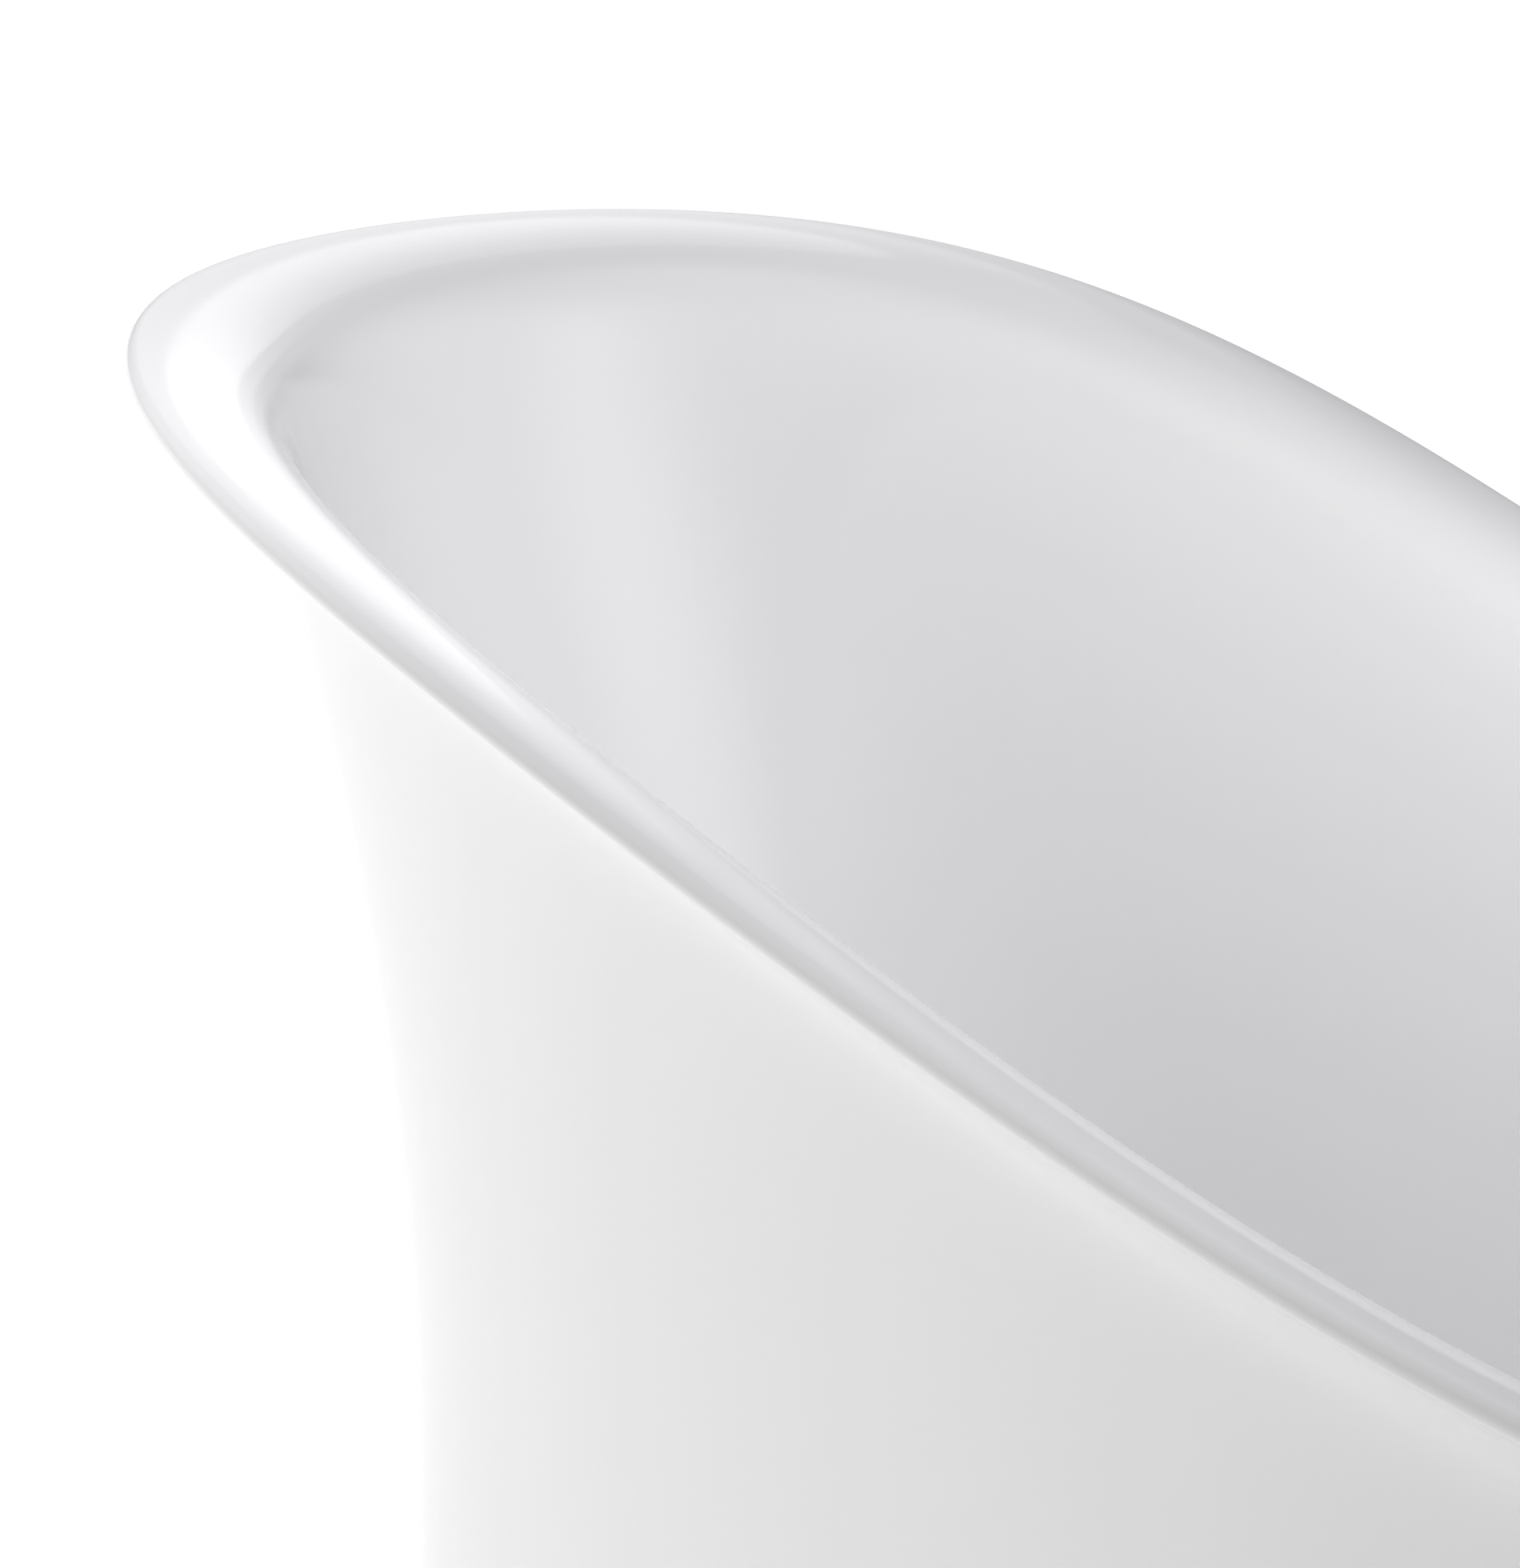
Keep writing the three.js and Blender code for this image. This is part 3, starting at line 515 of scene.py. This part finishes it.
def moulded_rubber(name, slot, dark, light):
    material, tree, shader = new_material(name)
    tint(tree, noise(tree, 70.0, 4.0).outputs["Fac"], shader.inputs["Base Color"], dark, light)
    vary(tree, noise(tree, 120.0, 3.0).outputs["Fac"], shader.inputs["Roughness"], 0.65, 0.85)
    bump(tree, shader, noise(tree, 900.0, 3.0).outputs["Fac"], 0.25, 0.0003)
    return material, slot


def pipe_plastic():
    material, tree, shader = new_material("pipe_plastic")
    tint(tree, noise(tree, 18.0, 3.0).outputs["Fac"], shader.inputs["Base Color"],
         (0.56, 0.57, 0.58), (0.62, 0.63, 0.64))
    vary(tree, noise(tree, 90.0, 3.0).outputs["Fac"], shader.inputs["Roughness"], 0.35, 0.5)
    bump(tree, shader, noise(tree, 500.0).outputs["Fac"], 0.12, 0.0002)
    return material, "pipe_plastic"


ACRYLIC = gloss_acrylic()
ADHESIVE = cured_adhesive()
PLYWOOD = birch_plywood()
ZINC = galvanised_steel()
CHROME = polished_chrome()
RUBBER = moulded_rubber("seal_rubber", "rubber", (0.018, 0.018, 0.020), (0.030, 0.030, 0.033))
FOOT_RUBBER = moulded_rubber("foot_rubber", "foot_rubber", (0.022, 0.022, 0.022), (0.040, 0.040, 0.040))
PIPE = pipe_plastic()

# ---- Light and floor ------------------------------------------------------------------------------

# Each lobe: azimuth and elevation in degrees, sharpness, colour times strength.
SKY_LOBES = [
    (90, 7, 16, (0.42, 0.41, 0.41)),
    (150, 7, 16, (0.62, 0.62, 0.62)),
    (144, 28, 50, (0.30, 0.30, 0.31)),
    (180, 7, 16, (0.28, 0.27, 0.27)),
    (0, 30, 10, (1.96, 1.95, 1.98)),
    (60, 30, 10, (0.75, 0.75, 0.78)),
    (180, 30, 10, (0.55, 0.54, 0.59)),
    (240, 30, 10, (0.60, 0.60, 0.58)),
    (300, 30, 10, (0.20, 0.20, 0.19)),
    (0, 90, 16, (0.80, 0.82, 0.87)),
]
BACKDROP = (0.74, 0.74, 0.75, 1)
FLOOR_HALF = 30.0
# The floor's glow at the start and at the end of its fade, and where the fade starts and ends, in
# metres from the middle of the tub along a direction.
FLOOR_GLOW = (0.65, 0.25)
FLOOR_FADE = (0.0, 1.9)
FLOOR_FADE_WAY = (0.85, -0.53, 0)
# Each softbox: name, place, aim, width and height, watts in red, green and blue, and whether it is a
# card, which shows in gloss and lights nothing.
SOFTBOXES = [
    ("head_end_box", (-1.9, -1.1, 1.4), (-0.5, 0, 0.5), (1.2, 1.2), (8.5, 8.5, 8.3), False),
    ("side_box", (-0.75, -1.3, 0.8), (-0.3, -0.3, 0.4), (0.7, 0.7), (1.8, 1.8, 1.8), False),
    ("strip_box", (0.35, -0.12, 1.15), (0.2, 0.3, 0.5), (0.7, 0.7), (1.2, 1.2, 1.2), False),
    ("wall_box", (-0.07, -0.27, 1.0), (-0.20, 0.35, 0.8), (1.25, 0.3), (1.65, 1.65, 1.68), False),
    ("outer_card", (-1.53, 0.45, 1.35), (-0.80, -0.05, 0.78), (1.45, 1.45), (0.8, 0.8, 0.83), True),
    ("wide_card", (-1.52, 0.44, 1.34), (-0.80, -0.05, 0.78), (1.25, 1.25), (0.9, 0.9, 0.92), True),
    ("middle_card", (-1.51, 0.43, 1.33), (-0.80, -0.05, 0.78), (0.9, 0.9), (0.7, 0.7, 0.71), True),
    ("inner_card", (-1.50, 0.42, 1.32), (-0.80, -0.05, 0.78), (0.55, 0.55), (0.5, 0.5, 0.51), True),
]


def make_world():
    """Studio light: a sky made of broad lobes, each round its own direction, behind a pale backdrop."""
    world = bpy.data.worlds.new("studio")
    bpy.context.scene.world = world
    world.use_nodes = True
    tree = world.node_tree
    background = tree.nodes["Background"]
    direction = tree.nodes.new("ShaderNodeTexCoord").outputs["Generated"]
    total = None
    for azimuth, elevation, sharpness, colour in SKY_LOBES:
        turn, rise = math.radians(azimuth), math.radians(elevation)
        dot = tree.nodes.new("ShaderNodeVectorMath")
        dot.operation = "DOT_PRODUCT"
        dot.inputs[1].default_value = (
            math.cos(turn) * math.cos(rise), math.sin(turn) * math.cos(rise), math.sin(rise)
        )
        tree.links.new(direction, dot.inputs[0])
        front = tree.nodes.new("ShaderNodeMath")
        front.operation = "MAXIMUM"
        front.inputs[1].default_value = 0.0
        tree.links.new(dot.outputs["Value"], front.inputs[0])
        lobe = tree.nodes.new("ShaderNodeMath")
        lobe.operation = "POWER"
        lobe.inputs[1].default_value = sharpness
        tree.links.new(front.outputs[0], lobe.inputs[0])
        scale = tree.nodes.new("ShaderNodeVectorMath")
        scale.operation = "SCALE"
        scale.inputs[0].default_value = colour
        tree.links.new(lobe.outputs[0], scale.inputs["Scale"])
        if total is None:
            total = scale.outputs[0]
        else:
            add = tree.nodes.new("ShaderNodeVectorMath")
            add.operation = "ADD"
            tree.links.new(total, add.inputs[0])
            tree.links.new(scale.outputs[0], add.inputs[1])
            total = add.outputs[0]
    tree.links.new(total, background.inputs["Color"])
    backdrop = tree.nodes.new("ShaderNodeBackground")
    backdrop.inputs["Color"].default_value = BACKDROP
    seen = tree.nodes.new("ShaderNodeMixShader")
    tree.links.new(tree.nodes.new("ShaderNodeLightPath").outputs["Is Camera Ray"], seen.inputs["Fac"])
    tree.links.new(background.outputs[0], seen.inputs[1])
    tree.links.new(backdrop.outputs[0], seen.inputs[2])
    tree.links.new(seen.outputs[0], tree.nodes["World Output"].inputs["Surface"])


def make_softboxes():
    """Large soft lights near the tub, so that the light falls off along it."""
    for name, place, aim, size, watts, is_card in SOFTBOXES:
        data = bpy.data.lights.new(name, "AREA")
        data.shape = "ELLIPSE"
        data.size, data.size_y = size
        data.energy = max(watts)
        data.color = [value / max(watts) for value in watts]
        light = bpy.data.objects.new(name, data)
        bpy.context.scene.collection.objects.link(light)
        light.location = place
        light.rotation_euler = (Vector(aim) - Vector(place)).to_track_quat("-Z", "Y").to_euler()
        light.visible_camera = False
        light.visible_glossy = is_card
        light.visible_diffuse = not is_card


def make_floor():
    """Plain pale floor with a glow of its own, brightest behind the head end."""
    mesh = bpy.data.meshes.new("floor")
    corners = [(FLOOR_HALF * x, FLOOR_HALF * y, 0) for x, y in ((-1, -1), (1, -1), (1, 1), (-1, 1))]
    mesh.from_pydata(corners, [], [(0, 1, 2, 3)])
    floor = bpy.data.objects.new("floor", mesh)
    bpy.context.scene.collection.objects.link(floor)
    material, tree, shader = new_material("floor_white")
    shader.inputs["Base Color"].default_value = (0.8, 0.8, 0.8, 1)
    shader.inputs["Roughness"].default_value = 0.9
    shader.inputs["Emission Color"].default_value = (1, 1, 1, 1)
    along = tree.nodes.new("ShaderNodeVectorMath")
    along.operation = "DOT_PRODUCT"
    along.inputs[1].default_value = FLOOR_FADE_WAY
    tree.links.new(tree.nodes.new("ShaderNodeNewGeometry").outputs["Position"], along.inputs[0])
    fade = tree.nodes.new("ShaderNodeMapRange")
    fade.interpolation_type = "SMOOTHSTEP"
    tree.links.new(along.outputs["Value"], fade.inputs["Value"])
    for socket, value in zip(("From Min", "From Max", "To Min", "To Max"), FLOOR_FADE + FLOOR_GLOW):
        fade.inputs[socket].default_value = value
    tree.links.new(fade.outputs["Result"], shader.inputs["Emission Strength"])
    mesh.materials.append(material)


# ---- Tub ------------------------------------------------------------------------------------------


def basin_shell():
    rows = 130
    shares = np.linspace(0, 1, rows + 1)[1:] ** 2
    face = [basin_ring(share, 0) for share in shares]
    middle = np.array([(face[-1][0, 0] + face[-1][PLAN_STEPS // 2, 0]) / 2, 0, FLOOR_TOP])
    floor = [middle + (face[-1] - middle) * share for share in np.linspace(0.97, 0.05, 20)]
    back = [basin_ring(share, SHELL_THICKNESS) for share in shares[4::3]]
    under = middle - np.array([0, 0, SHELL_THICKNESS])
    below = [under + (back[-1] - under) * np.array([1, 1, 0]) * share for share in (0.7, 0.4, 0.1)]
    lip = [lip_ring(degrees) for degrees in np.linspace(90, -90, 19)]
    tuck = [outline(0.0135, 0.0135, CROWN - 0.012), outline(0.014, 0.014, CROWN - 0.007)]
    rings = (face + floor)[::-1] + lip + tuck + back + below
    shell = piece("basin", loft(rings, (middle, under)))
    drain_hole = rod("drain_cutter", DRAIN_HOLE, FLOOR_TOP - 0.03, FLOOR_TOP + 0.03)
    drain_hole.location.x = WASTE_X
    overflow_hole = rod("overflow_cutter", OVERFLOW_HOLE, -0.02, 0.02)
    overflow_hole.matrix_world = OVERFLOW
    combine(shell, [drain_hole, overflow_hole], "DIFFERENCE")
    settle(shell, "tub", "basin_shell", ACRYLIC)


def outer_skirt():
    outside = [skirt_ring(share, 0) for share in np.linspace(0, 0.999, 111) ** 2]
    edge = [skirt_ring(1, 0.0006), skirt_ring(1, SKIRT_THICKNESS - 0.0006)]
    shares = np.maximum(np.linspace(0.999, 0, 40) ** 2, 0.004)
    inside = [skirt_ring(share, SKIRT_THICKNESS) for share in shares]
    settle(piece("skirt", loft(outside + edge + inside)), "tub", "outer_skirt", ACRYLIC)


def rim_bond():
    """Bead of adhesive just inside the lip, with a rounded, slightly uneven face."""
    middle_inset, middle_depth = 0.0168, 0.01115
    half_width, half_height = 0.0021, 0.0025
    wave = 0.0002 * np.sin(23 * ANGLES) * np.cos(9 * ANGLES)
    rings = []
    for turn in np.linspace(0, 2 * np.pi, 16, endpoint=False):
        inset = middle_inset + (half_width + wave) * np.cos(turn)
        height = CROWN - middle_depth + (half_height + wave) * np.sin(turn)
        rings.append(outline(inset, inset, height))
    settle(piece("adhesive_bead", loft(rings)), "tub", "rim_bond", ADHESIVE)


# ---- Base board and frame -------------------------------------------------------------------------


def base_frame():
    """The board, rails and cross members keep their CAD shapes, with eased edges."""
    dress("base_board", PLYWOOD, 0.0012)
    for name in ("rail_left", "rail_right", "cross_head", "cross_middle", "cross_tail"):
        dress(f"frame_{name}", ZINC, 0.0008)


def board_screws():
    """Six pan-head screws, driven up through the rails into the board."""
    seat, tip = 0.1031, 0.1397
    face = [(0, seat - 0.003), (0.0040, seat - 0.003), (0.0055, seat - 0.001), (0.0055, seat)]
    head = rounded(face, 0.0004)
    shank = thread(0.0024, 0.0021, seat, tip - 0.004, 0.0018)
    for number in range(1, 7):
        obj = turned(f"screw_{number}", head + shank + [(0, tip)])
        place(obj, *node_centre(f"board_screw_{number}"))
        settle(obj, "tub", f"board_screw_{number}", ZINC)


# ---- Levelling feet -------------------------------------------------------------------------------


def levelling_feet():
    for number in range(1, 6):
        x, y = node_centre(f"foot_pad_{number}")
        body = f"foot_{number}"
        base = rounded([(0, 0.0103), (0.008, 0.0103), (0.008, 0.0123), (0.0056, 0.0128)], 0.0003)
        stud = turned(f"stud_{number}", base + thread(0.006, 0.0052, 0.0135, 0.1105, 0.00175)
                      + [(0.0045, 0.112), (0, 0.112)])
        place(stud, x, y)
        settle(stud, body, f"foot_stud_{number}", ZINC)
        pad = turned(f"pad_{number}", rounded([
            (0, 0), (0.024, 0), (0.024, 0.003), (0.021, 0.006), (0.0123, 0.014), (0.0083, 0.014),
            (0.0083, 0.010), (0, 0.010)], 0.0008))
        place(pad, x, y)
        settle(pad, body, f"foot_pad_{number}", FOOT_RUBBER)
        bore, corner = 0.0064, 0.0110
        nut = turned(f"nut_{number}", [
            (bore, 0.0753), (bore + 0.0006, 0.0748), (0.0088, 0.0748), (0.0095, 0.0751), (corner, 0.0758),
            (corner, 0.0818), (0.0095, 0.0825), (0.0088, 0.0828), (bore + 0.0006, 0.0828),
            (bore, 0.0823)], closed=True, steps=72, shape=hexagon(0.019, 0.0094))
        place(nut, x, y)
        settle(nut, "tub", f"foot_nut_{number}", ZINC)


# ---- Waste ----------------------------------------------------------------------------------------


def stand(obj, body, node, finish):
    """Settles a piece on the waste's upright axis."""
    place(obj, WASTE_X, 0)
    settle(obj, body, node, finish)


def waste():
    seat = 0.1503
    flange = turned("drain_rim", rounded([
        (0.0225, 0.125), (0.025, 0.125), (0.025, seat), (0.035, seat), (0.035, 0.1513),
        (0.032, 0.1533), (0.0235, 0.1533), (0.0225, 0.1523)], 0.0007, closed=True), closed=True, steps=96)
    stand(flange, "tub", "drain_flange", CHROME)

    gasket = turned("drain_washer", rounded([
        (0.026, 0.1417), (0.035, 0.1417), (0.035, 0.1447), (0.026, 0.1447)], 0.0008, closed=True),
        closed=True, steps=72)
    stand(gasket, "tub", "drain_gasket", RUBBER)

    cap = turned("plug_cap", rounded([
        (0, 0.1486), (0.0175, 0.1486), (0.0175, 0.1536), (0.030, 0.1536), (0.031, 0.1546),
        (0.029, 0.1566), (0.018, 0.1582), (0.006, 0.1586), (0, 0.1586)], 0.0008), steps=96)
    stand(cap, "plug", "drain_plug", CHROME)

    seal = turned("plug_ring", rounded([
        (0.0178, 0.1496), (0.022, 0.1496), (0.0212, 0.1514), (0.022, 0.1533), (0.0178, 0.1533)],
        0.0006, closed=True), closed=True, steps=72)
    stand(seal, "plug", "plug_seal", RUBBER)

    pin = turned("lift_pin", rounded([(0, 0.084), (0.0035, 0.084), (0.0035, 0.1483), (0, 0.1483)], 0.0006),
                 steps=32)
    stand(pin, "plug", "lift_rod", ZINC)

    cup = turned("waste_cup", rounded([
        (0.015, 0.044), (0.029, 0.044), (0.029, 0.080), (0.0298, 0.081), (0.0298, 0.084), (0.029, 0.085),
        (0.029, 0.1374), (0.036, 0.1374), (0.036, 0.1414), (0.0254, 0.1414), (0.0254, 0.048),
        (0.015, 0.048)], 0.0008, closed=True), closed=True, steps=72)
    port = turned("waste_port", rounded([
        (0.0085, 0.027), (0.011, 0.027), (0.011, 0.043), (0.0085, 0.043)], 0.0004, closed=True),
        closed=True, steps=40)
    port.matrix_world = Matrix.Translation((0, 0, HOSE_PORT)) @ TOWARDS_X
    combine(cup, [port], "UNION")
    bore = rod("port_cutter", 0.0085, 0.010, 0.030)
    bore.matrix_world = Matrix.Translation((0, 0, HOSE_PORT)) @ TOWARDS_X
    combine(cup, [bore], "DIFFERENCE")
    stand(cup, "tub", "waste_body", PIPE)

    tail = turned("outlet_pipe", rounded([
        (0.015, 0.012), (0.019, 0.012), (0.019, 0.0437), (0.015, 0.0437)], 0.0008, closed=True),
        closed=True, steps=64)
    stand(tail, "tub", "outlet_tail", PIPE)

    nut = turned("outlet_ring", [
        (0.0193, 0.0285), (0.0200, 0.0277), (0.0252, 0.0277), (0.0262, 0.0290), (0.0270, 0.0297),
        (0.0270, 0.0417), (0.0262, 0.0425), (0.0252, 0.0437), (0.0200, 0.0437), (0.0193, 0.0430)],
        closed=True, steps=240, shape=grooves(24, 0.0013, 0.0261))
    stand(nut, "tub", "outlet_nut", PIPE)


# ---- Overflow -------------------------------------------------------------------------------------


def overflow():
    plate = turned("overflow_rose", rounded([
        (0.0064, 0.0055), (0.030, 0.0055), (0.030, 0.0072), (0.0285, 0.0092), (0.026, 0.0095),
        (0.0064, 0.0095)], 0.0005, closed=True), closed=True, steps=96)
    slots = []
    for k in range(8):
        turn = 2 * math.pi * (k + 0.5) / 8
        slot = rod(f"slot_cutter_{k}", 0.0036, 0.0, 0.015, steps=32)
        place(slot, 0.0145 * math.cos(turn), 0.0145 * math.sin(turn))
        slots.append(slot)
    combine(plate, slots, "DIFFERENCE")
    plate.matrix_world = OVERFLOW
    settle(plate, "tub", "overflow_plate", CHROME)

    knob = turned("knob", rounded([
        (0, -0.028), (0.006, -0.028), (0.006, 0.0105), (0.011, 0.0105), (0.011, 0.015), (0.0232, 0.015),
        (0.025, 0.0168), (0.025, 0.0272), (0.0232, 0.029), (0.017, 0.029), (0.0155, 0.0284),
        (0, 0.0284)], 0.0006), steps=192, shape=grooves(6, 0.0016, 0.0165, 6))
    knob.matrix_world = OVERFLOW
    settle(knob, "overflow_control", "overflow_knob", CHROME)

    body = turned("overflow_cup", rounded([
        (0.020, -0.0098), (0.027, -0.0098), (0.027, -0.0128), (0.023, -0.0128), (0.023, -0.034),
        (0, -0.034), (0, -0.031), (0.020, -0.031)], 0.0007), steps=72)
    spigot_turn = Matrix.Translation((0, 0, SPIGOT_DEPTH)) @ TOWARDS_MINUS_X
    spigot = turned("overflow_spigot", rounded([
        (0.0085, 0.021), (0.011, 0.021), (0.011, 0.038), (0.0085, 0.038)], 0.0004, closed=True),
        closed=True, steps=40)
    spigot.matrix_world = spigot_turn
    combine(body, [spigot], "UNION")
    bore = rod("spigot_cutter", 0.0085, 0.012, 0.024)
    bore.matrix_world = spigot_turn
    combine(body, [bore], "DIFFERENCE")
    body.matrix_world = OVERFLOW
    settle(body, "tub", "overflow_body", PIPE)


def corrugated_hose():
    joint = -0.0386
    start = [OVERFLOW @ Vector((along, 0, SPIGOT_DEPTH)) for along in (joint, joint - 0.012)]
    points = start + [Vector((x, 0, z)) for x, z in HOSE_ROUTE] + [Vector((0.3733, 0, HOSE_PORT))]
    length, centres, sides = along_curve(points, 0.0011)
    ripple = 0.5 + 0.5 * np.cos(2 * np.pi * length / 0.0055)
    ends = np.minimum(length, length[-1] - length) < 0.022
    outer = np.where(ends, 0.011, 0.0098 + 0.0012 * ripple)
    rings = tube_rings(centres, sides, outer)
    inner = tube_rings(centres, sides, outer - np.where(ends, 0.0025, 0.0012))
    settle(piece("hose", loft(rings + inner[::-1])), "tub", "overflow_hose", PIPE)


def control_cable():
    start = OVERFLOW @ Vector((-0.0175, 0.017, SPIGOT_DEPTH))
    middle = [Vector((x, 0.017, z)) for x, z in HOSE_ROUTE]
    points = [start] + middle + [Vector((WASTE_X + 0.027, 0.017, HOSE_PORT + 0.006))]
    length, centres, sides = along_curve(points, 0.002)
    rings = tube_rings(centres, sides, 0.0024 + 0.0001 * np.cos(2 * np.pi * length / 0.008))
    ends = (tuple(centres[0]), tuple(centres[-1]))
    settle(piece("control_wire", loft(rings, ends)), "tub", "control_cable", RUBBER)


def hose_nuts():
    upper = OVERFLOW @ Matrix.Translation((-0.036, 0, SPIGOT_DEPTH)) @ TOWARDS_MINUS_X
    lower = Matrix.Translation((WASTE_X + 0.041, 0, HOSE_PORT)) @ TOWARDS_X
    for name, matrix in (("hose_nut_upper", upper), ("hose_nut_lower", lower)):
        nut = turned(name + "_ring", [
            (0.0114, -0.0065), (0.0119, -0.007), (0.0136, -0.007), (0.0139, -0.0064), (0.0144, -0.0058),
            (0.0144, 0.0058), (0.0139, 0.0064), (0.0136, 0.007), (0.0119, 0.007), (0.0114, 0.0065)],
            closed=True, steps=160, shape=grooves(20, 0.0007, 0.01385))
        nut.matrix_world = matrix
        settle(nut, "tub", name, PIPE)


def overflow_gaskets():
    """The CAD gaskets are cut to the wall's own curve, so they stay and only take a finish."""
    for node in ("overflow_gasket_front", "overflow_gasket_rear"):
        dress(node, RUBBER, 0.0004)


# ---- Put together ---------------------------------------------------------------------------------

make_camera()
make_world()
make_softboxes()
make_floor()
bpy.context.scene.view_settings.view_transform = "Standard"
basin_shell()
outer_skirt()
rim_bond()
base_frame()
board_screws()
levelling_feet()
waste()
overflow()
corrugated_hose()
control_cable()
hose_nuts()
overflow_gaskets()
